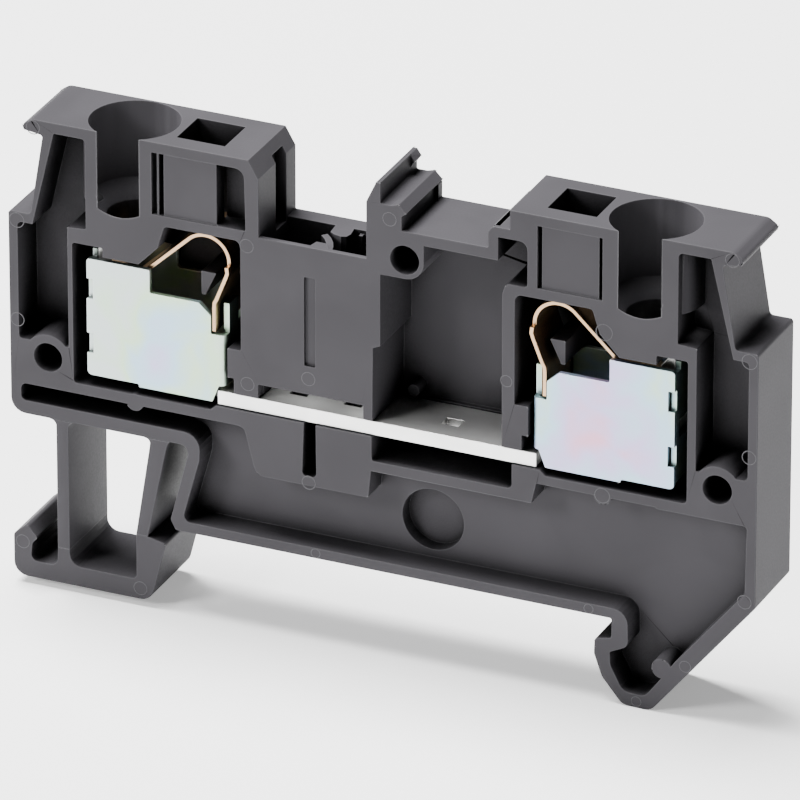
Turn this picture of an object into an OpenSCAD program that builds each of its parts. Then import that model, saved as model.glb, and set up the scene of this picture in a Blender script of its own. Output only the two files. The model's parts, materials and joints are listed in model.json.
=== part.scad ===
// Push-in feed-through terminal block for a 35 mm top-hat rail.
// X runs across the rail, Y along it and Z away from it. The origin is the middle of the rail seat.

/* [Housing] */
// Length across the rail
block_len = 56; // [55.6:0.2:58]
// Thickness along the rail, the pitch of a row of blocks
block_t = 6.2; // [6.2:0.1:7]
// Height of the tower tops above the rail seat
tower_top = 29.4; // [29.2:0.1:31]
// Height of the ledge on top of each outer wall
ledge_z = 22.15; // [22:0.05:22.6]
// Width of the rail that the foot and the hook grip
rail_w = 35; // [34.8:0.1:35.2]

/* [Depths from the open face] */
// Depth of the clamp chambers and of the test pocket
deep = 5.25; // [5.2:0.05:5.4]
// Depth of the pockets in the outer walls and of the channel over the foot
middle = 3; // [2:0.1:3.4]
// Depth of the field above the rail seat
shallow = 2.1; // [1.5:0.1:2.4]

/* [Openings] */
// Radius of the wire funnel at the tower top
funnel_r = 3.2; // [2.8:0.05:3.25]
// Radius of the wire hole under the funnel
wire_r = 2; // [1.5:0.05:2.1]
// Depth of the wire hole's axis behind the open face
wire_d = 2.8; // [2.7:0.05:2.85]
// Distance of the wire hole's axis from the middle between the clamps
wire_x = 19.43; // [19.3:0.01:19.6]
// Radius of the three cover-peg holes
peg_r = 1.07; // [0.9:0.01:1.15]
// Depth of the cover-peg holes
peg_depth = 3.5; // [2:0.1:4]

/* [Current path] */
// Thickness of the current bar
bar_t = 1.05; // [0.8:0.05:1.1]
// Height of the bar's lower face
bar_z = 10.3; // [10.25:0.05:10.4]
// Thickness of the folded cage sheet
sheet_t = 0.4; // [0.3:0.05:0.45]
// Thickness of the spring strip
strip_t = 0.33; // [0.25:0.01:0.35]
// Slope of the clamping leg below the horizontal
leg_slope = 43; // [42:1:44]

/* [Hidden] */
$fn = 64;
clear = 1;
half_len = block_len / 2;
grip_x = rail_w / 2;
plastic = [0.42, 0.415, 0.43];
tin = [0.84, 0.85, 0.84];
zinc = [0.78, 0.8, 0.84];
steel = [0.82, 0.72, 0.58];

// Outer wall and tower heights that several features share
tray_z = 23.7;
rear_tray_z = 23.27;
platform_z = 26.3;
underside_z = 6.72;
seat_t = 0.8;
wall_in = half_len - 0.7;
peg_x = 25.1;
peg_z = 11.4;
centre_peg = [1.92, 24.13];
arch_r = 1.75;

// Bar, cage and spring places, as distances from the middle between the two clamps
clamp_mid = -0.15;
bar_front = 0.2;
bar_rear = 4.8;
bar_ends = [12.1, 11.8];
tongue_front = 1.2;
tongue_rear = 4.4;
tongue_lift = 0.8;
upstand_x = 21.57;
upstand_top = 20;
cage_front = 0.15;
cage_rear = 5.05;
cage_in = 11.5;
cage_out = 22;
cage_top = 19.55;
cage_low = 10.42;
cage_fold = 0.5;
strip_front = 0.7;
strip_rear = 4.5;
anchor_front = 0.25;
bend_c = [13.2, 20.95];
bend_r = 1.93;
leg_reach = 8;
jumper_holes = [-6.9, -2.8, 4.5];

// Corners with a radius become arcs: each point is [x, z, radius]
function unit(v) = v / norm(v);
function swing(a) = a > 180 ? a - 360 : a < -180 ? a + 360 : a;
function corner_arc(a, b, c, r, steps = 5) = r == 0 ? [b] :
    let (u = unit(a - b), w = unit(c - b), half = acos(u * w) / 2)
    let (mid = b + unit(u + w) * r / sin(half))
    let (from = b + u * r / tan(half) - mid, to = b + w * r / tan(half) - mid)
    let (a0 = atan2(from.y, from.x), turn = swing(atan2(to.y, to.x) - a0))
    [for (k = [0 : steps]) mid + r * [cos(a0 + turn * k / steps), sin(a0 + turn * k / steps)]];
function rounded(pts) = let (n = len(pts))
    [for (i = [0 : n - 1])
        let (a = pts[(i + n - 1) % n], b = pts[i], c = pts[(i + 1) % n])
        each corner_arc([a.x, a.y], [b.x, b.y], [c.x, c.y], b.z)];
function flip(pts) = [for (i = [len(pts) - 1 : -1 : 0]) [-pts[i].x, pts[i].y, pts[i].z]];

// A plate with this outline between two depths behind the open face
module plate(pts, d0, d1) {
    translate([0, d1 - block_t / 2, 0])
        rotate([90, 0, 0])
            linear_extrude(d1 - d0)
                polygon(rounded(pts));
}

// A pocket with this outline, sunk from the open face
module pocket(pts, depth) {
    plate(pts, -clear, depth);
}

module brick(x0, x1, d0, d1, z0, z1) {
    translate([x0, d0 - block_t / 2, z0])
        cube([x1 - x0, d1 - d0, z1 - z0]);
}

module peg_hole(x, z, r, d0, d1) {
    translate([x, d0 - block_t / 2, z])
        rotate([-90, 0, 0])
            cylinder(h = d1 - d0, r = r);
}

// An outline seen from above, each point [x, d], drawn between two heights
module upright(pts, z0, z1) {
    translate([0, -block_t / 2, z0])
        linear_extrude(z1 - z0)
            polygon(pts);
}

// Places what is given for the right side, or its mirror image on the left, about the line x = mid
module on_side(side, mid = clamp_mid) {
    translate([mid, 0, 0])
        if (side > 0)
            children();
        else
            mirror([1, 0, 0])
                children();
}

// Outline of the tower's outer end, the lip and the ledge of the outer wall, on the right
tower_end = [
    [26.1, tower_top, 0.8], [26.85, tower_top - 0.5, 0.35], [26.7, 28.5, 0.2],
    [25.3, 28.3, 0.2], [26.3, ledge_z, 0.3], [half_len, ledge_z, 0.25]
];
// Right wall's foot, fixed hook and the rail notch above it
fixed_hook = [
    [half_len, 2.95, 0.4], [20.35, -6.5, 1], [18.25, -6.45, 0.8], [16.7, -4.6, 1.5],
    [16.1, -2.9, 0.8], [16.15, -1.75, 0.3], [grip_x - 0.1, -1.5, 0.2], [grip_x - 0.1, 0, 0.15]
];
// End of the rail seat beside the foot, up the curved wall, and the underside over the foot
seat_end = [
    [-15.45, 0, 0.35], [-15.85, 0.75, 0.3], [-14.3, underside_z, 0.6], [-half_len, underside_z, 1.1]
];
finger_top = tower_top + 0.2;
// Inner side of the left tower, the tray, the marker finger, the platform and the nose
top_middle = [
    [-9.75, tower_top, 0], [-9, 28.1, 0], [-9, tray_z, 0], [-0.95, tray_z, 0],
    [-0.95, 28, 0.1], [-0.2, finger_top, 0.05], [0.12, finger_top, 0.05], [0.12, 28.05, 0.1],
    [0.9, 28.05, 0.1], [1.45, 28.2, 0.1], [2.05, 27.6, 0.05], [1.7, 27.35, 0],
    [1.7, platform_z, 0.1], [8.1, platform_z, 0.1], [8.1, 27.5, 0.1], [8.45, 27.95, 0.1],
    [9.7, 27.95, 0], [9.7, tower_top, 0]
];
outline = concat(tower_end, fixed_hook, seat_end, flip(tower_end), top_middle);

// Chamber for one clamp: spring space above, cage space below
ceiling_z = 19.9;
chamber = [
    [10.25, 14.85, 0.1], [10.25, 23.15, 0.5], [15.95, 23.15, 0.3], [16.5, 21.4, 0.3],
    [17.95, ceiling_z, 0], [20.7, ceiling_z, 0], [20.7, 20.6, 0.1], [23, 20.6, 0.2],
    [23, 9.87, 0.3], [12.6, 9.87, 0.2], [12.1, bar_z, 0], [10.8, 11, 0], [10.8, 12.6, 0.05],
    [11.27, 12.6, 0.05], [11.27, 14.85, 0.1]
];
funnel_wall = 0.35;
release_x = 12.02;
release_w = 3.6;

// Two pockets that run into each other between the tower, the slanted wall and the outer wall
outer_pocket = [
    [22.1, 28.6, 0.3], [24.45, 28.6, 0.1], [26.15, 21.4, 0], [wall_in, 21.4, 0.3],
    [wall_in, 12.5, 0.3], [23.5, 12.5, 0.1], [23.5, 21.7, 0.1], [22.1, 21.8, 0.1]
];

// Field above the rail seat, round the hook's notch and along the sloping wall
channel_z = 7.75;
seat_field = [
    [-15.4, 9.05, 0], [-15.4, channel_z, 0], [-13.5, channel_z, 1.2], [-13.6, 5.7, 1],
    [-14.95, seat_t, 0.5], [18.6, seat_t, 1.1], [18.65, -1.95, 0.7], [17.3, -2.6, 0.15],
    [17.35, -3.6, 0.8], [18.3, -5.4, 0.8], [19.9, -5.5, 0.8], [20.75, -4.35, 0.1], [22.1, -2.4, 0.3],
    [27.2, 3.9, 0.3], [wall_in, 9.05, 0.3], [20.6, 9.05, 0], [20.6, 9.15, 0], [11.75, 9.15, 0.1],
    [11.4, 7.6, 0], [-0.6, 7.6, 0], [-0.8, 5.5, 0.2], [-9.3, 5.5, 0.8], [-10.2, 9.05, 0.6]
];
shaft_front = 0.4;
shaft_rear = 4.85;
jumper_space = [[-9, bar_z + bar_t + 0.1, 0], [-1.1, bar_z + bar_t + 0.1, 0],
                [-1.1, tower_top + clear, 0], [-9, tower_top + clear, 0]];
test_pocket = [
    [-0.5, bar_z + bar_t + 0.1, 0], [-0.45, 17, 0], [0.1, 17.25, 0], [0.1, 25.45, 0],
    [8.85, 25.45, 0], [8.85, 27.2, 0], [11, 27.2, 0.6], [11, 23.85, 0.2], [9.4, 23.85, 0.5],
    [9.15, 23, 0.3], [9.15, bar_z + bar_t + 0.1, 0]
];

module clamp_side_cuts(side) {
    on_side(side) {
        pocket(chamber, deep);
        wire_funnel();
        brick(release_x, release_x + release_w, 1.45, 4.85, 22.9, tower_top + clear);
    }
    on_side(side, 0) {
        difference() {
            pocket(outer_pocket, middle);
            peg_hole(peg_x, peg_z, arch_r, -2 * clear, middle + clear);
            // Wall left between the pocket and the wire funnel
            translate([side * clamp_mid + wire_x, wire_d - block_t / 2, tray_z])
                cylinder(h = tower_top - tray_z, r = funnel_r + funnel_wall);
        }
        peg_hole(peg_x, peg_z, peg_r, -clear, peg_depth);
    }
}

// Wide cylinder, cone and wire hole, with the window that lets the funnel out at the open face
module wire_funnel() {
    cone_top = 23.6;
    cone_low = 22.4;
    translate([wire_x, wire_d - block_t / 2, 0]) {
        translate([0, 0, cone_top])
            cylinder(h = tower_top + clear - cone_top, r = funnel_r);
        translate([0, 0, cone_low])
            cylinder(h = cone_top - cone_low, r1 = wire_r, r2 = funnel_r);
        translate([0, 0, ceiling_z - clear])
            cylinder(h = cone_low - ceiling_z + 1.1 * clear, r = wire_r);
    }
    window = [[18, 24, 0.35], [21, 24, 0.35], [21, tower_top + clear, 0],
              [18, tower_top + clear, 0]];
    pocket(window, 1.7);
}

// Relief on the fronts of the two towers
module tower_front_cuts() {
    relief_low = 23.95;
    relief_top = 28.6;
    for (x = [11.75, 16.25])
        brick(x, x + 0.28, -clear, 1.2, relief_low, relief_top);
    brick(12, 16.3, -clear, 0.15, relief_low, relief_top);
    brick(-17.05, -16.7, -clear, 1.6, relief_low, relief_top);
    brick(-16.55, -16.2, -clear, 1.6, relief_low, relief_top);
    brick(-16.8, -12.1, -clear, 0.15, relief_low, relief_top);
    pocket([[-12.2, 24, 0.1], [-12.2, relief_top, 0.1], [-10.1, relief_top, 0.7], [-10, 24, 0.1]], 1.7);
    brick(-9.9, -8.9, 2.9, 4.6, tray_z - 0.7, 28.6);
}

module housing_lower_cuts() {
    // Channel over the foot, the space under the bar, the keyhole and the round blind recess
    pocket([[-27.2, channel_z, 0.4], [-27.2, 9.05, 0.4], [-14.9, 9.05, 0], [-14.9, channel_z, 0]], middle);
    pocket([[-0.55, 8.4, 0.2], [-0.55, bar_z + bar_t, 0], [9.9, bar_z + bar_t, 0], [9.9, 8.4, 0.3]], 4.5);
    pocket([[-5.6, bar_z + bar_t, 0], [-4.8, bar_z + bar_t, 0], [-4.75, 6.2, 0.35], [-5.8, 6.2, 0.35]], 4);
    peg_hole(3.15, 3.7, 2.3, 0, shallow + 1.1);
    // Seat for the bar across the block
    pocket([[-13, bar_z - 0.05, 0], [-13, bar_z + bar_t + 0.1, 0],
            [12.6, bar_z + bar_t + 0.1, 0], [12.6, bar_z - 0.05, 0]], bar_rear + 0.1);
}

module housing_rear_cuts() {
    rear_field = [[-12.4, 1.3, 0.4], [-12.4, 7.3, 0.6], [26, 7.3, 0.6], [26, 3.9, 0.6],
                  [22.6, -0.2, 0.6], [20.4, 1.3, 0.6]];
    difference() {
        plate(rear_field, block_t - 2, block_t + clear);
        peg_hole(3.15, 3.7, 3.2, block_t - 3, block_t + 2 * clear);
    }
}

module housing() {
    color(plastic) {
        difference() {
            plate(outline, 0, block_t);
            clamp_side_cuts(1);
            clamp_side_cuts(-1);
            tower_front_cuts();
            plate(jumper_space, shaft_front, shaft_rear);
            brick(-9, -0.95, shaft_rear - 0.05, block_t + clear, rear_tray_z, tray_z + clear);
            nose_slot();
            // Slot over the bar, groove in the front panel and the test pocket
            pocket([[-9.1, 11.4, 0], [-9.1, 12.5, 0.1], [-1.2, 12.5, 0.1], [-1.2, 11.4, 0]], 0.7);
            pocket([[-5.6, 14.65, 0.1], [-5.6, 21.4, 0.1], [-4.8, 21.4, 0.1], [-4.8, 14.65, 0.1]], 0.25);
            difference() {
                pocket(test_pocket, deep);
                centre_boss();
            }
            peg_hole(centre_peg.x, centre_peg.y, peg_r, -clear, peg_depth);
            pocket(seat_field, shallow);
            housing_lower_cuts();
            housing_rear_cuts();
        }
        housing_ribs();
    }
}

module centre_boss() {
    boss_r = 1.43;
    peg_hole(centre_peg.x, centre_peg.y, boss_r, -2 * clear, deep + clear);
    brick(0, centre_peg.x, -2 * clear, deep + clear, centre_peg.y - boss_r, platform_z);
    brick(0, centre_peg.x + boss_r, -2 * clear, deep + clear, centre_peg.y, platform_z);
}

// Narrow slot along the nose, beside the right tower
module nose_slot() {
    brick(8.5, 8.85, 0.35, 5.8, 27.3, tower_top);
}

// Lugs and curved web that divide the jumper shaft, with one flute on its back wall
module shaft_divider() {
    divider_low = 16;
    web_c = [-8.1, 0.4];
    web_r = 4.15;
    web_t = 0.5;
    upright([[-5.44, shaft_front - 0.1], [-5.25, 1.3], [-4.45, 1.3], [-3.85, shaft_front - 0.1]],
            divider_low, tray_z - 0.1);
    upright([[-5.43, shaft_rear + 0.1], [-5.31, 3.75], [-4.95, 3.5], [-4.35, 3.35], [-3.95, 3.5],
             [-3.85, 3.95], [-4, shaft_rear + 0.1]], divider_low, rear_tray_z);
    upright(concat([for (a = [0 : 10 : 50]) web_c + web_r * [cos(a), sin(a)]],
                   [for (a = [50 : -10 : 0]) web_c + (web_r - web_t) * [cos(a), sin(a)]]),
            divider_low, rear_tray_z - 0.1);
    brick(-3.55, -3.25, shaft_rear - 0.3, shaft_rear + 0.1, divider_low, rear_tray_z - 0.3);
}

module housing_ribs() {
    shaft_divider();
    // Barb at the back of the finger and the web that closes the undercut of its ridge
    plate([[0, finger_top, 0], [0.12, finger_top, 0], [0.45, 29.1, 0.1], [0.1, 28.6, 0], [0, 28.6, 0]],
          5, block_t);
    brick(1.65, 2, 5.5, block_t, platform_z - 0.05, 27.5);
    // Wedge that the anchor leg of each spring leans on
    for (side = [-1, 1])
        on_side(side)
            plate([[12.45, ceiling_z, 0.1], [13.62, ceiling_z, 0.1], [13.62, 18.1, 0.1], [13.3, 18.1, 0.1]],
                  0.9, deep + 0.1);
    // Small boss beside the bar and the diagonal shoulder in the nose pocket
    peg_hole(0.85, 12.3, 0.45, 3.9, deep + 0.1);
    plate([[8.85, 25.9, 0], [10.1, 27.2, 0], [11, 26.2, 0], [9.7, 24.9, 0], [8.85, 24.6, 0]],
          4.5, deep + 0.1);
    // Round pads on the walls where ejector pins pushed
    peg_hole(-18.5, 9.25, 0.65, 0, middle + 0.1);
    peg_hole(16.65, 9.2, 0.65, 0, shallow + 0.1);
    peg_hole(21.15, -3.1, 0.75, 0, shallow + 0.1);
}

leaf_out = -24.55;
leaf_in = -23.62;

module rail_foot() {
    foot_low = -5.95;
    floor_z = -4.42;
    color(plastic)
        plate([
            [-26.9, -1.85, 0.25], [-27.95, -2.8, 0.35], [-27.95, foot_low, 1],
            [-17.4, foot_low, 1.1], [-16.2, -1.25, 0.2], [-17.6, -0.95, 0.1],
            [-18.5, -0.95, 0], [-18.5, floor_z, 0.3], [leaf_in, floor_z, 0.9], [leaf_in, -3.2, 0],
            [leaf_out, -3.2, 0], [-24.6, -4.65, 0.5], [-26.65, -4.65, 0.5], [-26.5, -3.3, 0.1],
            [-26.1, -2.8, 0.2]
        ], 0, block_t);
}

module foot_outer_leaf() {
    color(plastic)
        plate([[leaf_out, -3.2, 0], [leaf_in, -3.2, 0], [leaf_in, underside_z, 0],
               [leaf_out, underside_z, 0]], 0, block_t);
}

module foot_inner_leaf() {
    color(plastic)
        plate([[-18.5, -0.95, 0], [-17.6, -0.95, 0], [-16.1, 6, 0], [-16, underside_z, 0],
               [-17.4, underside_z, 0], [-18.5, 0.3, 0]], 0, block_t);
}

// One end of the bar: narrow tongue, joggle up over the cage floor, and the upstand with a thinned tip
module bar_tongue(bar_end) {
    low = bar_z + tongue_lift;
    tip_t = 0.45;
    plate([
        [bar_end - 0.3, bar_z, 0], [12.6, bar_z, 0.3], [13.4, low, 0.3],
        [upstand_x, low, 1.3], [upstand_x, upstand_top, 0.1], [upstand_x - tip_t, upstand_top, 0.1],
        [upstand_x - bar_t, upstand_top - 0.7, 0.2], [upstand_x - bar_t, low + bar_t, 0.3],
        [13.1, low + bar_t, 0.3], [12.3, bar_z + bar_t, 0.3], [bar_end - 0.3, bar_z + bar_t, 0]
    ], tongue_front, tongue_rear);
}

module current_bar() {
    hole_w = 1.3;
    hole_d = 1;
    color(tin)
        difference() {
            union() {
                brick(clamp_mid - bar_ends[0], clamp_mid + bar_ends[1], bar_front, bar_rear,
                      bar_z, bar_z + bar_t);
                on_side(-1)
                    bar_tongue(bar_ends[0]);
                on_side(1)
                    bar_tongue(bar_ends[1]);
            }
            for (x = jumper_holes)
                brick(x - hole_w / 2, x + hole_w / 2, 2.3 - hole_d / 2, 2.3 + hole_d / 2,
                      bar_z - clear, bar_z + bar_t + clear);
        }
}

// Outline of the cage's front and rear plates, up to where the inner fold starts
cage_flat = cage_in + cage_fold;
fold_top = 15.6;
fold_low = 11.7;
seam_tabs = [12.35, 16.5];
tab_h = 1.5;
cage_plate = [
    [cage_out, cage_low + 0.23, 0.35], [cage_out, cage_top, 0.25], [17.2, cage_top, 0.1],
    [17.2, 17.8, 0.2], [13.45, 17.8, 0.2], [12.57, 17, 0.15], [12.57, fold_top, 0.1],
    [cage_flat, fold_top, 0], [cage_flat, fold_low, 0], [12.5, cage_low, 0.2],
    [18, cage_low, 0.05], [18.15, cage_low + 0.23, 0.05]
];

// Sheet folded from the front plate into the inner wall and on into the rear plate, seen from above
module inner_fold() {
    r0 = cage_fold - sheet_t;
    c = [cage_flat, cage_front + cage_fold];
    e = [cage_flat, cage_rear - cage_fold];
    upright(concat(
        [for (a = [270 : -15 : 180]) c + cage_fold * [cos(a), sin(a)]],
        [for (a = [180 : -15 : 90]) e + cage_fold * [cos(a), sin(a)]],
        [for (a = [90 : 15 : 180]) e + r0 * [cos(a), sin(a)]],
        [for (a = [180 : 15 : 270]) c + r0 * [cos(a), sin(a)]]
    ), fold_low, fold_top);
}

module clamp_cage(side) {
    side_in = cage_out - sheet_t;
    color(zinc)
        on_side(side) {
            // Front plate, notched at its outer edge where the side wall's tabs come through
            difference() {
                plate(cage_plate, cage_front, cage_front + sheet_t);
                for (z = seam_tabs)
                    brick(side_in - 0.08, cage_out + clear, -clear, cage_front + 2 * sheet_t, z, z + tab_h);
            }
            plate(cage_plate, cage_rear - sheet_t, cage_rear);
            difference() {
                brick(side_in, cage_out, cage_front + sheet_t, cage_rear - sheet_t,
                      cage_low + 0.6, cage_top - 0.25);
                brick(side_in - sheet_t, cage_out + clear, 1.1, 4.1, 14.2, 15.6);
            }
            // Ear on the side wall that the bar's upstand leans on
            brick(side_in, cage_out, 1.2, 4.3, cage_top - 0.3, 19.9);
            // Floor under the bar's tongue, and the inner fold with its spring tab
            brick(13.7, cage_out - 0.3, cage_front + sheet_t, cage_rear - sheet_t,
                  cage_low + 0.23, cage_low + 0.23 + sheet_t);
            inner_fold();
            brick(cage_in, cage_in + sheet_t, 0.9, 2.4, fold_top - 0.1, 17.8);
        }
}

module left_clamp_cage() {
    clamp_cage(-1);
}

module right_clamp_cage() {
    clamp_cage(1);
}

// Anchor leg: from the kink at the bend down beside the wedge, then straight down inside the cage
module spring_anchor(side) {
    top = [bend_c.x - bend_r, bend_c.y];
    elbow = [11.2, 20.35];
    knee = [12.2, 18];
    color(steel)
        on_side(side)
            plate([
                [top.x, top.y, 0], [top.x + strip_t, top.y, 0], [elbow.x + strip_t, elbow.y, 0.3],
                [knee.x + strip_t, knee.y, 0.4], [knee.x + strip_t, 15.8, 0.1], [knee.x, 15.8, 0.1],
                [knee.x, knee.y, 0.6], [elbow.x, elbow.y, 0.5]
            ], anchor_front, strip_rear);
}

function on_bend(a, r) = bend_c + r * [cos(a), sin(a)];

// Half-round bend from the kink to the start of the clamping leg
module spring_bend(side) {
    a0 = 90 - leg_slope;
    steps = 20;
    color(steel)
        on_side(side)
            plate(concat(
                [for (k = [0 : steps]) each [concat(on_bend(a0 + (180 - a0) * k / steps, bend_r), 0)]],
                [for (k = [steps : -1 : 0])
                    each [concat(on_bend(a0 + (180 - a0) * k / steps, bend_r - strip_t), 0)]]
            ), strip_front, strip_rear);
}

// Clamping leg: tangent to the bend, with its tip close to the bar's upstand
module spring_leg(side) {
    color(steel)
        on_side(side)
            translate([bend_c.x, 0, bend_c.y])
                rotate([0, leg_slope, 0])
                    plate([
                        [0, bend_r - strip_t, 0], [0, bend_r, 0],
                        [leg_reach, bend_r, 0.1], [leg_reach, bend_r - strip_t, 0.1]
                    ], strip_front, strip_rear);
}

module left_spring_anchor() {
    spring_anchor(-1);
}

module left_spring_bend() {
    spring_bend(-1);
}

module left_spring_leg() {
    spring_leg(-1);
}

module right_spring_anchor() {
    spring_anchor(1);
}

module right_spring_bend() {
    spring_bend(1);
}

module right_spring_leg() {
    spring_leg(1);
}

housing();
rail_foot();
foot_outer_leaf();
foot_inner_leaf();
current_bar();
left_clamp_cage();
right_clamp_cage();
left_spring_anchor();
left_spring_bend();
left_spring_leg();
right_spring_anchor();
right_spring_bend();
right_spring_leg();
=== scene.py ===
"""Looks of the rail terminal block: finishes, springs, flexing leaves, pin marks and the studio."""
import json
import math

import bmesh
import bpy
from bpy.props import FloatProperty, FloatVectorProperty, IntProperty, PointerProperty
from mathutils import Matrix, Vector


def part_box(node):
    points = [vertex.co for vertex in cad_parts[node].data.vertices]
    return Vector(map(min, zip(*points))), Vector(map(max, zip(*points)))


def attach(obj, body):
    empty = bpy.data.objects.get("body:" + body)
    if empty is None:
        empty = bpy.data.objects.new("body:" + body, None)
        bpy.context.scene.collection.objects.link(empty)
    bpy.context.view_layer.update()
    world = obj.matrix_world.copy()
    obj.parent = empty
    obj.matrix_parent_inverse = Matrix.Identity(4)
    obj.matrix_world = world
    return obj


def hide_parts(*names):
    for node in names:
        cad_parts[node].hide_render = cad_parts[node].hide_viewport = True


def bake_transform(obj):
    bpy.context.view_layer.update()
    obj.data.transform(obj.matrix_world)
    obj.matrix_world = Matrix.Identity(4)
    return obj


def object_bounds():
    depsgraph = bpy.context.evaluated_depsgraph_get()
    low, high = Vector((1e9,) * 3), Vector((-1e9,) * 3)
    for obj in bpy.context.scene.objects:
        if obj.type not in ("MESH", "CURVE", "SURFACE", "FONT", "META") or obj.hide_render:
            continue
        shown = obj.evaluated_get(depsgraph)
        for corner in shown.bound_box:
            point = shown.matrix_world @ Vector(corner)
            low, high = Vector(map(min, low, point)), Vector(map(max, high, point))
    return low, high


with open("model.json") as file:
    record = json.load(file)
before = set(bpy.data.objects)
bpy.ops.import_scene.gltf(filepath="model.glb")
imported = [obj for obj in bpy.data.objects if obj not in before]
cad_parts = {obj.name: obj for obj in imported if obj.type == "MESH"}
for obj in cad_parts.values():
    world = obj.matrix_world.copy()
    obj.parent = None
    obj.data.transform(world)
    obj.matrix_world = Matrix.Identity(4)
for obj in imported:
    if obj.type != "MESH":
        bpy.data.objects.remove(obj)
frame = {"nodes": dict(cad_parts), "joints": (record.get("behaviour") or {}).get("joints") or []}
CAD_BOX = [list(corner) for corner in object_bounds()]

bl_info = {
    "name": "Rail terminal block looks",
    "version": (1, 0, 0),
    "blender": (4, 5, 0),
    "location": "View3D > Sidebar > Terminal block",
    "description": "Finishes, springs, flexing leaves, pin marks and a studio for a rail terminal block",
    "category": "Object",
}

MM = 0.001
JOINTS = {joint["name"]: joint for joint in frame["joints"]}
FRONT_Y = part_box("housing")[0].y

# Colour of the film on the zinc, from its centre outwards
FILM_STOPS = [(0.0, (0.66, 0.31, 0.42)), (0.3, (0.46, 0.4, 0.64)), (0.55, (0.36, 0.53, 0.66)),
              (0.78, (0.45, 0.62, 0.42)), (1.0, (0.48, 0.56, 0.54))]
# Colour of the highlight painted along the cages' sharp edges
ZINC_EDGE_HIGHLIGHT = (0.92, 0.93, 0.92)

# How far a leaf stays rigid with the block above and with the foot below
INNER_LEAF_FOOT = 0.9 * MM
INNER_LEAF_ROOT = 1.3 * MM

# A spring's shape in its clamp's plane: the slope and length of the moving leg, and the anchor leg's
# points from its foot up to the bend, as (x, z) from the hinge
LEG_SLOPE = math.radians(43)
LEG_REACH = 8.0 * MM
ANCHOR_FOOT_X = -0.83 * MM
ANCHOR_POINTS = [(ANCHOR_FOOT_X, -3.5 * MM), (-0.86 * MM, -3.0 * MM), (-1.0 * MM, -2.75 * MM),
                 (-1.72 * MM, -0.95 * MM), (-1.84 * MM, -0.6 * MM)]
TIP_THINNING = 0.6


# ---------------------------------------------------------------- settings

def length(name, description, default_mm):
    """A length setting, given in millimetres and kept in metres."""
    return FloatProperty(name=name, description=description, default=default_mm * MM,
                         min=0.0, precision=6, unit="LENGTH")


def colour(name, description, default):
    """A colour setting."""
    return FloatVectorProperty(name=name, description=description, default=default,
                               size=3, min=0.0, max=1.0, subtype="COLOR")


def factor(name, description, default, top=1.0):
    """A plain number setting between 0 and top."""
    return FloatProperty(name=name, description=description, default=default, min=0.0, max=top)


class HousingSettings(bpy.types.PropertyGroup):
    """Colours and small sizes of the moulded plastic."""
    plastic: colour("Plastic", "Colour of the moulded plastic", (0.047, 0.045, 0.0495))
    # Colour of the highlight painted along the moulding's sharp edges
    polished: colour("Edge highlight", "Colour of the highlight painted along edges", (0.125, 0.124, 0.13))
    roughness: factor("Roughness", "Roughness of the moulded skin", 0.5)
    ior: factor("Skin IOR", "Refractive index of the skin, low for a matt moulding", 1.15, 2.0)
    grain: length("Grain", "Size of the spark-eroded grain", 0.16)
    rounding: length("Edge rounding", "Radius of the moulding's edges", 0.05)
    leaf_root: length("Leaf root", "Fillet where a leaf meets the block", 0.5)
    mark_band: length("Pin mark", "Half the width of the ring that an ejector pin leaves", 0.035)
    mark_proud: length("Pin mark height", "How far the ring stands proud", 0.006)


class MetalSettings(bpy.types.PropertyGroup):
    """Colours and small sizes of the bar, the cages and the springs."""
    tin: colour("Tin", "Colour of the tin plating", (0.93, 0.93, 0.91))
    zinc: colour("Zinc", "Colour of the zinc plating under its film", (0.5, 0.55, 0.55))
    straw: colour("Spring", "Colour of the spring strip", (0.55, 0.36, 0.21))
    film: factor("Film", "Strength of the pastel film on the zinc", 0.95)
    strip: length("Strip", "Thickness of the spring strip", 0.28)
    rounding: length("Edge rounding", "Radius of the stamped edges", 0.04)
    bend_steps: IntProperty(name="Bend steps", description="Facets round the spring's bend",
                            default=28, min=8, max=64)


class StageSettings(bpy.types.PropertyGroup):
    """Floor, lights and camera."""
    floor: colour("Floor", "Colour of the floor", (0.9, 0.9, 0.9))
    ambient: factor("Ambient", "Strength of the light all round", 0.07, 10.0)
    key: FloatProperty(name="Key", description="Power of the softbox above", default=17.0, unit="POWER")
    glow: factor("Glow", "Light that the backlit floor gives by itself", 0.4, 10.0)
    side: FloatProperty(name="Side", description="Power of the softbox at front left", default=5.0,
                        unit="POWER")
    azimuth: FloatProperty(name="Azimuth", description="Camera's turn to the right of the front",
                           default=math.radians(24.05), unit="ROTATION")
    elevation: FloatProperty(name="Elevation", description="Camera's height above the level",
                             default=math.radians(26.22), unit="ROTATION")
    distance: length("Distance", "Camera's distance from its target", 842.6)
    lens: FloatProperty(name="Lens", description="Focal length in millimetres", default=552.25)
    target: FloatVectorProperty(name="Target", description="Point that the camera looks at",
                                default=(0.0002, 0.0, 0.01181), precision=6, size=3,
                                subtype="TRANSLATION", unit="LENGTH")
    reach: length("Floor reach", "Half the width of the floor", 1500.0)
    key_place: FloatVectorProperty(name="Key place", description="Place of the softbox above",
                                   default=(-0.15, 0.05, 0.6), size=3, subtype="TRANSLATION",
                                   unit="LENGTH")
    key_size: length("Key size", "Width of the softbox above", 350.0)
    side_place: FloatVectorProperty(name="Side place", description="Place of the softbox at front left",
                                    default=(-0.42, -0.5, 0.38), size=3, subtype="TRANSLATION",
                                    unit="LENGTH")
    side_size: length("Side size", "Width of the softbox at front left", 220.0)


# ---------------------------------------------------------------- shader node groups

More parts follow.
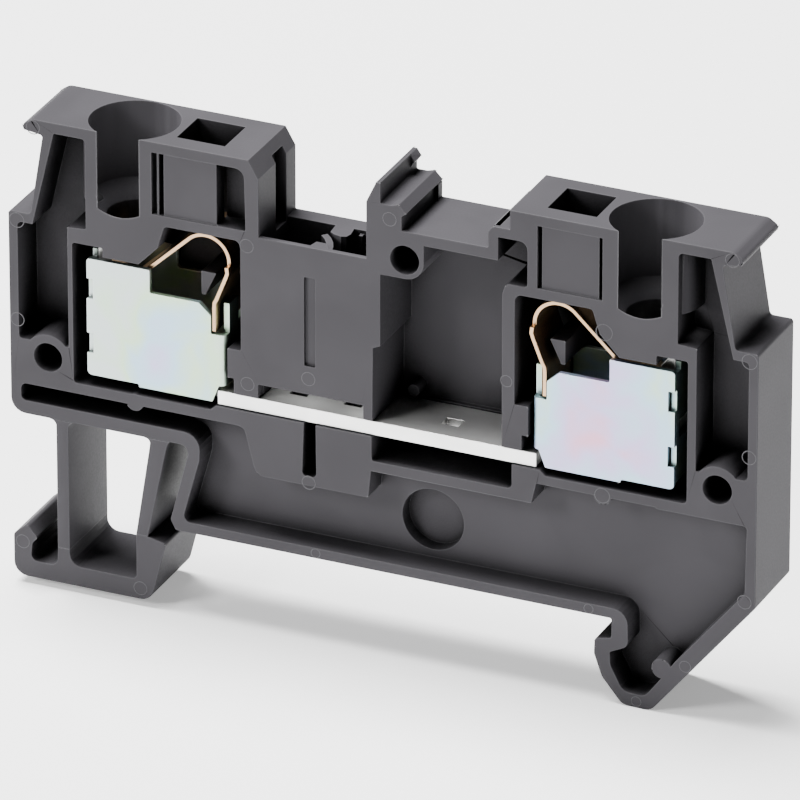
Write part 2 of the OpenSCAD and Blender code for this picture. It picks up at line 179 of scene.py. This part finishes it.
def new_group(name, inputs, outputs):
    """An empty shader node group; inputs and outputs are (name, socket type, default) rows."""
    group = bpy.data.node_groups.new(name, "ShaderNodeTree")
    for in_out, rows in (("INPUT", inputs), ("OUTPUT", outputs)):
        for label, kind, value in rows:
            socket = group.interface.new_socket(label, in_out=in_out, socket_type=kind)
            if value is not None:
                socket.default_value = value
    return group, group.nodes.new("NodeGroupInput"), group.nodes.new("NodeGroupOutput")


def node(tree, kind, values=None, **fields):
    """A node with its fields and unlinked input values set."""
    made = tree.nodes.new(kind)
    for field, value in fields.items():
        setattr(made, field, value)
    for socket, value in (values or {}).items():
        made.inputs[socket].default_value = value
    return made


def grain_group():
    """Fine moulded or rolled grain: a value and a height, over object space."""
    group, given, result = new_group(
        "Fine grain",
        [("Vector", "NodeSocketVector", None), ("Size", "NodeSocketFloat", 0.0002)],
        [("Value", "NodeSocketFloat", None), ("Height", "NodeSocketFloat", None)])
    scale = node(group, "ShaderNodeMath", {0: 1.0}, operation="DIVIDE")
    group.links.new(given.outputs["Size"], scale.inputs[1])
    noise = node(group, "ShaderNodeTexNoise", {"Detail": 3.0, "Roughness": 0.6})
    cells = node(group, "ShaderNodeTexVoronoi", feature="F1")
    mix = node(group, "ShaderNodeMath", {1: 0.5}, operation="MULTIPLY_ADD")
    for texture in (noise, cells):
        group.links.new(given.outputs["Vector"], texture.inputs["Vector"])
        group.links.new(scale.outputs[0], texture.inputs["Scale"])
    group.links.new(cells.outputs["Distance"], mix.inputs[0])
    group.links.new(noise.outputs["Fac"], mix.inputs[2])
    group.links.new(noise.outputs["Fac"], result.inputs["Value"])
    group.links.new(mix.outputs[0], result.inputs["Height"])
    return group


def drift_group():
    """Slow change of tone over the surface, from flow in the mould or in the plating bath."""
    group, given, result = new_group(
        "Tone drift",
        [("Vector", "NodeSocketVector", None), ("Size", "NodeSocketFloat", 0.008),
         ("Low", "NodeSocketFloat", 0.9), ("High", "NodeSocketFloat", 1.1)],
        [("Value", "NodeSocketFloat", None)])
    scale = node(group, "ShaderNodeMath", {0: 1.0}, operation="DIVIDE")
    noise = node(group, "ShaderNodeTexNoise", {"Detail": 2.0, "Distortion": 0.6})
    spread = node(group, "ShaderNodeMapRange", {"From Min": 0.3, "From Max": 0.7})
    group.links.new(given.outputs["Size"], scale.inputs[1])
    group.links.new(scale.outputs[0], noise.inputs["Scale"])
    group.links.new(given.outputs["Vector"], noise.inputs["Vector"])
    group.links.new(noise.outputs["Fac"], spread.inputs["Value"])
    group.links.new(given.outputs["Low"], spread.inputs["To Min"])
    group.links.new(given.outputs["High"], spread.inputs["To Max"])
    group.links.new(spread.outputs["Result"], result.inputs["Value"])
    return group


def edge_group():
    """Mask that is 1 along sharp edges and 0 on flat faces, where a highlight is painted along the
    edges.
    """
    group, given, result = new_group(
        "Painted edge highlight",
        [("Radius", "NodeSocketFloat", 0.0002), ("Gain", "NodeSocketFloat", 3.0)],
        [("Mask", "NodeSocketFloat", None)])
    bevel = node(group, "ShaderNodeBevel", samples=6)
    surface = node(group, "ShaderNodeNewGeometry")
    dot = node(group, "ShaderNodeVectorMath", operation="DOT_PRODUCT")
    turn = node(group, "ShaderNodeMath", {0: 1.0}, operation="SUBTRACT")
    gain = node(group, "ShaderNodeMath", operation="MULTIPLY", use_clamp=True)
    group.links.new(given.outputs["Radius"], bevel.inputs["Radius"])
    group.links.new(bevel.outputs["Normal"], dot.inputs[0])
    group.links.new(surface.outputs["Normal"], dot.inputs[1])
    group.links.new(dot.outputs["Value"], turn.inputs[1])
    group.links.new(turn.outputs[0], gain.inputs[0])
    group.links.new(given.outputs["Gain"], gain.inputs[1])
    group.links.new(gain.outputs[0], result.inputs["Mask"])
    return group


def brushed_group():
    """Long fine lines along X, left by rolling or brushing."""
    group, given, result = new_group(
        "Rolled lines",
        [("Vector", "NodeSocketVector", None), ("Size", "NodeSocketFloat", 0.00008),
         ("Stretch", "NodeSocketFloat", 0.02)],
        [("Value", "NodeSocketFloat", None)])
    scale = node(group, "ShaderNodeMath", {0: 1.0}, operation="DIVIDE")
    split = node(group, "ShaderNodeSeparateXYZ")
    shorten = node(group, "ShaderNodeMath", operation="MULTIPLY")
    join = node(group, "ShaderNodeCombineXYZ")
    noise = node(group, "ShaderNodeTexNoise", {"Detail": 2.0})
    group.links.new(given.outputs["Size"], scale.inputs[1])
    group.links.new(given.outputs["Vector"], split.inputs[0])
    group.links.new(split.outputs["X"], shorten.inputs[0])
    group.links.new(given.outputs["Stretch"], shorten.inputs[1])
    group.links.new(shorten.outputs[0], join.inputs["X"])
    group.links.new(split.outputs["Y"], join.inputs["Y"])
    group.links.new(split.outputs["Z"], join.inputs["Z"])
    group.links.new(join.outputs[0], noise.inputs["Vector"])
    group.links.new(scale.outputs[0], noise.inputs["Scale"])
    group.links.new(noise.outputs["Fac"], result.inputs["Value"])
    return group


def shade_group():
    """Value that falls from 1 on open faces to a floor value deep in narrow pockets."""
    group, given, result = new_group(
        "Deep shade",
        [("Reach", "NodeSocketFloat", 0.004), ("Low", "NodeSocketFloat", 0.2)],
        [("Value", "NodeSocketFloat", None)])
    hidden = node(group, "ShaderNodeAmbientOcclusion", samples=8)
    spread = node(group, "ShaderNodeMapRange", {"From Min": 0.3, "From Max": 0.62, "To Max": 1.0},
                  interpolation_type="SMOOTHSTEP")
    group.links.new(given.outputs["Reach"], hidden.inputs["Distance"])
    group.links.new(hidden.outputs["AO"], spread.inputs["Value"])
    group.links.new(given.outputs["Low"], spread.inputs["To Min"])
    group.links.new(spread.outputs["Result"], result.inputs["Value"])
    return group


GROUP_MAKERS = {"Deep shade": shade_group, "Fine grain": grain_group, "Tone drift": drift_group,
                "Painted edge highlight": edge_group, "Rolled lines": brushed_group}


def use_group(tree, name, **values):
    """Places a shared group in a material, and builds the group the first time."""
    placed = tree.nodes.new("ShaderNodeGroup")
    placed.node_tree = bpy.data.node_groups.get(name) or GROUP_MAKERS[name]()
    for socket, value in values.items():
        placed.inputs[socket].default_value = value
    if "Vector" in placed.inputs:
        place = tree.nodes.new("ShaderNodeTexCoord")
        tree.links.new(place.outputs["Object"], placed.inputs["Vector"])
    return placed


# ---------------------------------------------------------------- materials

def new_material(name, metallic, roughness):
    """A material with its Principled shader; returns both and the tree."""
    material = bpy.data.materials.new(name)
    material.use_nodes = True
    shader = material.node_tree.nodes["Principled BSDF"]
    shader.inputs["Metallic"].default_value = metallic
    shader.inputs["Roughness"].default_value = roughness
    return material, shader, material.node_tree


def tint(tree, base, value):
    """A colour, plain or from a socket, multiplied by a varying value."""
    scale = node(tree, "ShaderNodeVectorMath", operation="SCALE")
    if isinstance(base, bpy.types.NodeSocket):
        tree.links.new(base, scale.inputs[0])
    else:
        scale.inputs[0].default_value = base
    tree.links.new(value, scale.inputs["Scale"])
    return scale.outputs[0]


def blend_colour(tree, mask, low, high):
    """Mixes two colours, each a socket or a plain colour, by a mask."""
    mix = node(tree, "ShaderNodeMix", data_type="RGBA")
    tree.links.new(mask, mix.inputs["Factor"])
    for name, source in ((6, low), (7, high)):
        if isinstance(source, bpy.types.NodeSocket):
            tree.links.new(source, mix.inputs[name])
        else:
            mix.inputs[name].default_value = (*source, 1.0)
    return mix.outputs[2]


def vary_roughness(tree, shader, value, low, high):
    """Drives the roughness between two limits by a varying value."""
    spread = node(tree, "ShaderNodeMapRange", {"From Min": 0.3, "From Max": 0.7,
                                               "To Min": low, "To Max": high})
    tree.links.new(value, spread.inputs["Value"])
    tree.links.new(spread.outputs["Result"], shader.inputs["Roughness"])


def add_bump(tree, shader, height, strength, depth):
    """Feeds a height into the shader's normal through a Bump node."""
    bump = node(tree, "ShaderNodeBump", {"Strength": strength, "Distance": depth})
    tree.links.new(height, bump.inputs["Height"])
    tree.links.new(bump.outputs["Normal"], shader.inputs["Normal"])


def moulded_plastic(name="moulded_plastic", highlight_gain=3.2):
    """Satin dark plastic with fine grain, slow tone drift, a highlight painted along its edges and
    painted shade deep in pockets.
    """
    look = bpy.context.scene.block_housing
    material = bpy.data.materials.get(name)
    if material:
        return material
    material, shader, tree = new_material(name, 0.0, look.roughness)
    shader.inputs["IOR"].default_value = look.ior
    grain = use_group(tree, "Fine grain", Size=look.grain)
    drift = use_group(tree, "Tone drift", Size=0.007, Low=0.92, High=1.09)
    edge = use_group(tree, "Painted edge highlight", Radius=0.00013, Gain=highlight_gain)
    shade = use_group(tree, "Deep shade", Reach=0.005, Low=0.05)
    body = tint(tree, look.plastic, drift.outputs["Value"])
    # Painted highlight: the body colour turns pale along sharp edges; painted shade then darkens it deep
    # in pockets
    highlighted = blend_colour(tree, edge.outputs["Mask"], body, look.polished)
    tree.links.new(tint(tree, highlighted, shade.outputs["Value"]), shader.inputs["Base Color"])
    vary_roughness(tree, shader, grain.outputs["Value"], look.roughness - 0.07, look.roughness + 0.07)
    add_bump(tree, shader, grain.outputs["Height"], 0.12, 0.00002)
    return material


def zinc_film(name, centre, reach, first):
    """Zinc-plated sheet under a pastel film that changes colour away from a centre."""
    look = bpy.context.scene.block_metal
    material, shader, tree = new_material(name, 0.72, 0.36)
    place = node(tree, "ShaderNodeTexCoord")
    away = node(tree, "ShaderNodeVectorMath", {1: centre}, operation="DISTANCE")
    near = node(tree, "ShaderNodeMapRange", {"From Min": 0.0, "From Max": reach, "To Min": first})
    drift = use_group(tree, "Tone drift", Size=0.0045, Low=-0.25, High=0.25)
    shift = node(tree, "ShaderNodeMath", operation="ADD", use_clamp=True)
    ramp = node(tree, "ShaderNodeValToRGB")
    elements = ramp.color_ramp.elements
    for index, (position, shade) in enumerate(FILM_STOPS):
        element = elements[index] if index < 2 else elements.new(position)
        element.position = position
        element.color = (*shade, 1.0)
    tree.links.new(place.outputs["Object"], away.inputs[0])
    tree.links.new(away.outputs["Value"], near.inputs["Value"])
    tree.links.new(near.outputs["Result"], shift.inputs[0])
    tree.links.new(drift.outputs["Value"], shift.inputs[1])
    tree.links.new(shift.outputs[0], ramp.inputs["Fac"])
    plate = node(tree, "ShaderNodeMix", {"Factor": look.film}, data_type="RGBA")
    plate.inputs[6].default_value = (*look.zinc, 1.0)
    tree.links.new(ramp.outputs["Color"], plate.inputs[7])
    edge = use_group(tree, "Painted edge highlight", Radius=0.0001, Gain=4.0)
    shade = use_group(tree, "Deep shade", Reach=0.003, Low=0.15)
    # Painted highlight: the film turns pale along sharp edges; painted shade darkens it deep in pockets
    highlighted = blend_colour(tree, edge.outputs["Mask"], plate.outputs[2], ZINC_EDGE_HIGHLIGHT)
    tree.links.new(tint(tree, highlighted, shade.outputs["Value"]), shader.inputs["Base Color"])
    grain = use_group(tree, "Fine grain", Size=0.00025)
    vary_roughness(tree, shader, grain.outputs["Value"], 0.28, 0.42)
    add_bump(tree, shader, grain.outputs["Height"], 0.06, 0.00002)
    return material


def rolled_metal(name, base, roughness, line, metallic):
    """Bright rolled metal with fine lines along its length, a highlight painted along its edges and
    painted shade in tight slots.
    """
    material = bpy.data.materials.get(name)
    if material:
        return material
    material, shader, tree = new_material(name, metallic, roughness)
    lines = use_group(tree, "Rolled lines", Size=line, Stretch=0.02)
    drift = use_group(tree, "Tone drift", Size=0.003, Low=0.9, High=1.04)
    edge = use_group(tree, "Painted edge highlight", Radius=0.00008, Gain=1.6)
    body = tint(tree, base, drift.outputs["Value"])
    # Painted highlight: a paler copy of the colour, laid along sharp edges
    edge_highlight_colour = [min(1.0, channel * 1.2) for channel in base]
    shade = use_group(tree, "Deep shade", Reach=0.0015, Low=0.2)
    highlighted = blend_colour(tree, edge.outputs["Mask"], body, edge_highlight_colour)
    tree.links.new(tint(tree, highlighted, shade.outputs["Value"]), shader.inputs["Base Color"])
    vary_roughness(tree, shader, lines.outputs["Value"], roughness - 0.04, roughness + 0.06)
    add_bump(tree, shader, lines.outputs["Value"], 0.03, 0.000004)
    return material


# ---------------------------------------------------------------- meshes

def give_material(thing, material):
    """Puts one material on every face."""
    thing.data.materials.clear()
    thing.data.materials.append(material)


def round_edges(thing, radius):
    """Joins a node's shared corners and rounds its sharp edges."""
    weld = thing.modifiers.new("Join corners", "WELD")
    weld.merge_threshold = 0.000002
    bevel = thing.modifiers.new("Rounded edges", "BEVEL")
    bevel.width = radius
    bevel.segments = 2
    bevel.limit_method = "ANGLE"
    bevel.angle_limit = math.radians(38)
    bevel.use_clamp_overlap = False
    bevel.harden_normals = True


def add_piece(name, material):
    """A new object with its finish and an empty mesh to fill."""
    thing = bpy.data.objects.new(name, bpy.data.meshes.new(name))
    bpy.context.scene.collection.objects.link(thing)
    give_material(thing, material)
    return thing


def fill_piece(thing, mesh):
    """Writes a bmesh into the object, shaded smooth except at its sharp edges."""
    bmesh.ops.recalc_face_normals(mesh, faces=mesh.faces)
    mesh.to_mesh(thing.data)
    mesh.free()
    thing.data.shade_smooth()
    thing.data.set_sharp_from_angle(angle=math.radians(30))


def loft(mesh, rings):
    """Skins a row of rings, each a list of points, into a tube with closed ends."""
    made = [[mesh.verts.new(point) for point in ring] for ring in rings]
    for a, b in zip(made, made[1:]):
        count = len(a)
        for i in range(count):
            j = (i + 1) % count
            mesh.faces.new((a[i], a[j], b[j], b[i]))
    mesh.faces.new(made[0])
    mesh.faces.new(list(reversed(made[-1])))


def rounded_section(width_axis, depth_axis, centre, half_w, half_d, radius):
    """Ring of a rounded rectangle round centre, spanned by two unit axes."""
    ring = []
    steps = 3
    for quarter, (sw, sd) in enumerate(((1, 1), (-1, 1), (-1, -1), (1, -1))):
        corner = centre + width_axis * sw * (half_w - radius) + depth_axis * sd * (half_d - radius)
        for step in range(steps + 1):
            angle = math.radians(90 * (quarter + step / steps))
            ring.append(corner + (width_axis * math.cos(angle) + depth_axis * math.sin(angle)) * radius)
    return ring


def to_world(x, depth, z):
    """A point from the block's width, depth behind the open face and height, in metres."""
    return Vector((x, FRONT_Y + depth, z))


# ---------------------------------------------------------------- springs

def spring_path(side, thickness):
    """Centre line of one spring in the clamp's plane, from the anchor's foot to the leg's tip.

    Rows are (x, z, front depth, rear depth); side is -1 for the left clamp and 1 for the right.
    """
    look = bpy.context.scene.block_metal
    prefix = "right" if side > 0 else "left"
    hinge = Vector(JOINTS[prefix + "_spring_flex"]["pos_m"])
    anchor_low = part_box(prefix + "_spring_anchor")[0]
    bend_low, bend_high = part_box(prefix + "_spring_bend")
    radius = bend_high.z - hinge.z - thickness / 2
    front, rear = bend_low.y - FRONT_Y, bend_high.y - FRONT_Y
    wide = anchor_low.y - FRONT_Y
    rows = [(ANCHOR_FOOT_X, anchor_low.z - hinge.z, wide)]
    rows += [(x, z, wide) for x, z in ANCHOR_POINTS]
    rows += [(-radius, -0.16 * MM, wide), (-radius, -0.12 * MM, front)]
    start, end = math.radians(180), math.radians(90) - LEG_SLOPE
    for step in range(look.bend_steps + 1):
        angle = start + (end - start) * step / look.bend_steps
        rows.append((radius * math.cos(angle), radius * math.sin(angle), front))
    along = Vector((math.cos(LEG_SLOPE), -math.sin(LEG_SLOPE)))
    root = Vector(rows[-1][:2])
    for part in (0.25, 0.5, 0.75, 0.97, 1.0):
        spot = root + along * LEG_REACH * part
        rows.append((spot.x, spot.y, front))
    return [(hinge.x + side * x, hinge.z + z, depth, rear) for x, z, depth in rows]


def spring_strip(side):
    """One bent strip: fixed anchor leg, round bend and moving clamping leg."""
    look = bpy.context.scene.block_metal
    prefix = "right" if side > 0 else "left"
    strip = add_piece(prefix + "_spring",
                      rolled_metal("straw_spring_steel", look.straw, 0.3, 0.00006, 1.0))
    rows = spring_path(side, look.strip)
    rings = []
    for index, (x, z, front, rear) in enumerate(rows):
        before = rows[max(index - 1, 0)]
        after = rows[min(index + 1, len(rows) - 1)]
        run = Vector((after[0] - before[0], 0, after[1] - before[1])).normalized()
        across = Vector((run.z, 0, -run.x))
        half_t = look.strip / 2 * (TIP_THINNING if index == len(rows) - 1 else 1.0)
        centre = to_world(x, (front + rear) / 2, z)
        rings.append(rounded_section(across, Vector((0, 1, 0)), centre, half_t,
                                     (rear - front) / 2, min(look.rounding, half_t * 0.8)))
    mesh = bmesh.new()
    loft(mesh, rings)
    fill_piece(strip, mesh)
    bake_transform(strip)
    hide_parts(*[f"{prefix}_spring_{part}" for part in ("anchor", "bend", "leg")])
    return strip


# ---------------------------------------------------------------- flexing leaves of the foot

def leaf_heights(low, high):
    """Heights of a leaf's rings from its root at the block to its foot, closer at the root fillet."""
    root = bpy.context.scene.block_housing.leaf_root
    steps = 24
    rows = [high.z + (low.z - high.z) * step / steps for step in range(steps + 1)]
    fine = [high.z - root * part for part in (0.06, 0.16, 0.3, 0.5, 0.75)]
    return sorted(set(rows + fine), reverse=True)


def leaf_edges(name, z):
    """Left and right side of a leaf at a height, before the fillets."""
    low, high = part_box(name)
    if name == "foot_outer_leaf":
        return low.x, high.x
    part = (z - low.z) / (high.z - low.z)
    foot_left, foot_right = low.x, low.x + INNER_LEAF_FOOT
    root_left, root_right = high.x - INNER_LEAF_ROOT, high.x
    return foot_left + (root_left - foot_left) * part, foot_right + (root_right - foot_right) * part


def foot_leaf(name, piece_name):
    """One thin leaf that the foot hangs on, widened by a fillet where it leaves the block."""
    look = bpy.context.scene.block_housing
    low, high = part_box(name)
    leaf = add_piece(piece_name, moulded_plastic())
    rings = []
    for z in leaf_heights(low, high):
        left, right = leaf_edges(name, z)
        below = min((high.z - z) / look.leaf_root, 1.0)
        flare = look.leaf_root * (1.0 - math.sqrt(1.0 - (1.0 - below) ** 2)) if below < 1.0 else 0.0
        left, right = left - flare, right + (flare if name == "foot_outer_leaf" else flare * 0.3)
        centre = Vector(((left + right) / 2, (low.y + high.y) / 2, z))
        rings.append(rounded_section(Vector((1, 0, 0)), Vector((0, 1, 0)), centre, (right - left) / 2,
                                     (high.y - low.y) / 2, look.rounding))
    mesh = bmesh.new()
    loft(mesh, rings)
    fill_piece(leaf, mesh)
    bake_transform(leaf)
    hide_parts(name)
    return leaf


# ---------------------------------------------------------------- pin marks

# Places of the ejector-pin rings on the open face: x, z and ring radius in millimetres
BLOCK_MARKS = [(16.65, 9.25, 0.55), (16.7, 21.6, 0.6), (27.35, 21.5, 0.55), (27.4, 14.3, 0.5),
               (9.5, 16.5, 0.42), (27.2, 3.3, 0.5), (22.9, -2.55, 0.42), (19.3, -6.0, 0.36),
               (15.7, 0.4, 0.34), (-4.8, 0.4, 0.34), (26.0, 28.8, 0.5), (-26.0, 28.8, 0.5),
               (-27.35, 21.5, 0.55), (-27.4, 13.9, 0.5), (-9.9, 22.9, 0.5), (-9.9, 12.4, 0.5),
               (-5.3, 13.7, 0.5), (0.8, 27.0, 0.5), (-5.3, 5.75, 0.5)]
FOOT_MARKS = [(-27.25, -3.3, 0.5), (-18.2, -5.1, 0.5)]


def ring_marks(name, body, spots):
    """Low raised rings where ejector pins pushed the moulding out."""
    look = bpy.context.scene.block_housing
    marks = add_piece(name, moulded_plastic("marked_plastic", 1.0))
    mesh = bmesh.new()
    around = 32
    band = look.mark_band
    sunk = -0.01 * MM
    profile = ((-band, sunk), (-band / 2, look.mark_proud), (band / 2, look.mark_proud), (band, sunk))
    for x, z, ring_radius in spots:
        centre = to_world(x * MM, 0.0, z * MM)
        rings = []
        for reach, proud in profile:
            radius = ring_radius * MM + reach
            rings.append([mesh.verts.new(centre + Vector((
                radius * math.cos(math.tau * k / around), -proud,
                radius * math.sin(math.tau * k / around)))) for k in range(around)])
        rings.append(rings[0])
        for a, b in zip(rings, rings[1:]):
            for k in range(around):
                m = (k + 1) % around
                mesh.faces.new((a[k], a[m], b[m], b[k]))
    fill_piece(marks, mesh)
    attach(marks, body)
    return marks


# ---------------------------------------------------------------- operators

class BLOCK_OT_housing(bpy.types.Operator):
    """Give the housing and the foot their moulded plastic and rounded edges"""
    bl_idname = "terminal_block.housing"
    bl_label = "Housing and foot"

    def execute(self, context):
        look = context.scene.block_housing
        for name in ("housing", "rail_foot"):
            give_material(frame["nodes"][name], moulded_plastic())
            round_edges(frame["nodes"][name], look.rounding)
        return {"FINISHED"}


class BLOCK_OT_leaves(bpy.types.Operator):
    """Build the two leaves that the foot flexes on"""
    bl_idname = "terminal_block.leaves"
    bl_label = "Flexing leaves"

    def execute(self, context):
        foot_leaf("foot_outer_leaf", "foot_outer_flexure")
        foot_leaf("foot_inner_leaf", "foot_inner_flexure")
        return {"FINISHED"}


class BLOCK_OT_marks(bpy.types.Operator):
    """Raise the rings that the ejector pins left"""
    bl_idname = "terminal_block.marks"
    bl_label = "Pin marks"

    def execute(self, context):
        ring_marks("housing_pin_marks", "block", BLOCK_MARKS)
        ring_marks("foot_pin_marks", "foot", FOOT_MARKS)
        return {"FINISHED"}


class BLOCK_OT_bar(bpy.types.Operator):
    """Give the current bar its tin plating"""
    bl_idname = "terminal_block.bar"
    bl_label = "Current bar"

    def execute(self, context):
        look = context.scene.block_metal
        bar = frame["nodes"]["current_bar"]
        give_material(bar, rolled_metal("tin_plating", look.tin, 0.36, 0.00009, 0.85))
        round_edges(bar, look.rounding)
        return {"FINISHED"}


class BLOCK_OT_cages(bpy.types.Operator):
    """Give the clamp cages their zinc plating and its pastel film"""
    bl_idname = "terminal_block.cages"
    bl_label = "Clamp cages"

    def execute(self, context):
        look = context.scene.block_metal
        for prefix, inward, up, reach, first in (("left", 0.55, 0.3, 6.8 * MM, 0.45),
                                                 ("right", 0.5, 0.45, 9.0 * MM, 0.0)):
            cage = frame["nodes"][prefix + "_clamp_cage"]
            low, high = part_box(prefix + "_clamp_cage")
            centre = (low.x + (high.x - low.x) * inward, low.y, low.z + (high.z - low.z) * up)
            give_material(cage, zinc_film(prefix + "_zinc_film", centre, reach, first))
            round_edges(cage, look.rounding)
        return {"FINISHED"}


class BLOCK_OT_springs(bpy.types.Operator):
    """Build the two clamp springs, each one bent strip"""
    bl_idname = "terminal_block.springs"
    bl_label = "Clamp springs"

    def execute(self, context):
        for side in (-1, 1):
            spring_strip(side)
        return {"FINISHED"}


def softbox(name, place, size, power, target):
    """A square area light aimed at a point."""
    light = bpy.data.lights.new(name, "AREA")
    light.size = size
    light.energy = power
    lamp = bpy.data.objects.new(name, light)
    lamp.location = place
    lamp.rotation_euler = (Vector(place) - target).to_track_quat("Z", "Y").to_euler()
    bpy.context.scene.collection.objects.link(lamp)


class BLOCK_OT_stage(bpy.types.Operator):
    """Build the floor, the soft lights and the camera"""
    bl_idname = "terminal_block.stage"
    bl_label = "Studio"

    def execute(self, context):
        scene = context.scene
        look = scene.block_stage
        low, high = (Vector(corner) for corner in CAD_BOX)
        centre = (low + high) / 2
        floor = bpy.data.objects.new("studio_floor", bpy.data.meshes.new("studio_floor"))
        mesh = bmesh.new()
        bmesh.ops.create_grid(mesh, x_segments=8, y_segments=8, size=look.reach)
        bmesh.ops.translate(mesh, verts=mesh.verts, vec=(0, 0, low.z))
        mesh.to_mesh(floor.data)
        mesh.free()
        scene.collection.objects.link(floor)
        paper, shader, tree = new_material("studio_paper", 0.0, 0.9)
        drift = use_group(tree, "Tone drift", Size=0.4, Low=0.99, High=1.01)
        tree.links.new(tint(tree, look.floor, drift.outputs["Value"]), shader.inputs["Base Color"])
        shader.inputs["Emission Color"].default_value = (1.0, 1.0, 1.0, 1.0)
        shader.inputs["Emission Strength"].default_value = look.glow
        give_material(floor, paper)
        world = bpy.data.worlds.new("studio_light")
        world.use_nodes = True
        background = world.node_tree.nodes["Background"]
        background.inputs["Color"].default_value = (1.0, 1.0, 1.0, 1.0)
        background.inputs["Strength"].default_value = look.ambient
        scene.world = world
        softbox("softbox_above", look.key_place, look.key_size, look.key, centre)
        softbox("softbox_front_left", look.side_place, look.side_size, look.side, centre)
        camera = bpy.data.objects.new("camera", bpy.data.cameras.new("camera"))
        camera.data.lens = look.lens
        camera.data.clip_end = 10.0
        back = Vector((math.sin(look.azimuth) * math.cos(look.elevation),
                       -math.cos(look.azimuth) * math.cos(look.elevation), math.sin(look.elevation)))
        target = Vector(look.target)
        camera.location = target + back * look.distance
        camera.rotation_euler = back.to_track_quat("Z", "Y").to_euler()
        scene.collection.objects.link(camera)
        scene.camera = camera
        return {"FINISHED"}


STEPS = (BLOCK_OT_stage, BLOCK_OT_housing, BLOCK_OT_leaves, BLOCK_OT_marks, BLOCK_OT_bar,
         BLOCK_OT_cages, BLOCK_OT_springs)


class BLOCK_PT_panel(bpy.types.Panel):
    """Sidebar panel with every step"""
    bl_idname = "BLOCK_PT_panel"
    bl_label = "Terminal block"
    bl_space_type = "VIEW_3D"
    bl_region_type = "UI"
    bl_category = "Terminal block"

    def draw(self, context):
        for step in STEPS:
            self.layout.operator(step.bl_idname)
        for name in SETTINGS:
            box = self.layout.box()
            group = getattr(context.scene, name)
            for field in group.bl_rna.properties:
                if field.identifier in group.__annotations__:
                    box.prop(group, field.identifier)


SETTINGS = {"block_housing": HousingSettings, "block_metal": MetalSettings,
            "block_stage": StageSettings}


def register():
    for kind in (*SETTINGS.values(), *STEPS, BLOCK_PT_panel):
        bpy.utils.register_class(kind)
    for name, kind in SETTINGS.items():
        setattr(bpy.types.Scene, name, PointerProperty(type=kind))


def unregister():
    for name in SETTINGS:
        delattr(bpy.types.Scene, name)
    for kind in reversed((*SETTINGS.values(), *STEPS, BLOCK_PT_panel)):
        bpy.utils.unregister_class(kind)


def main():
    """Registers the add-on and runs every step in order."""
    register()
    bpy.ops.terminal_block.stage()
    bpy.ops.terminal_block.housing()
    bpy.ops.terminal_block.leaves()
    bpy.ops.terminal_block.marks()
    bpy.ops.terminal_block.bar()
    bpy.ops.terminal_block.cages()
    bpy.ops.terminal_block.springs()


if __name__ == "__main__":
    main()
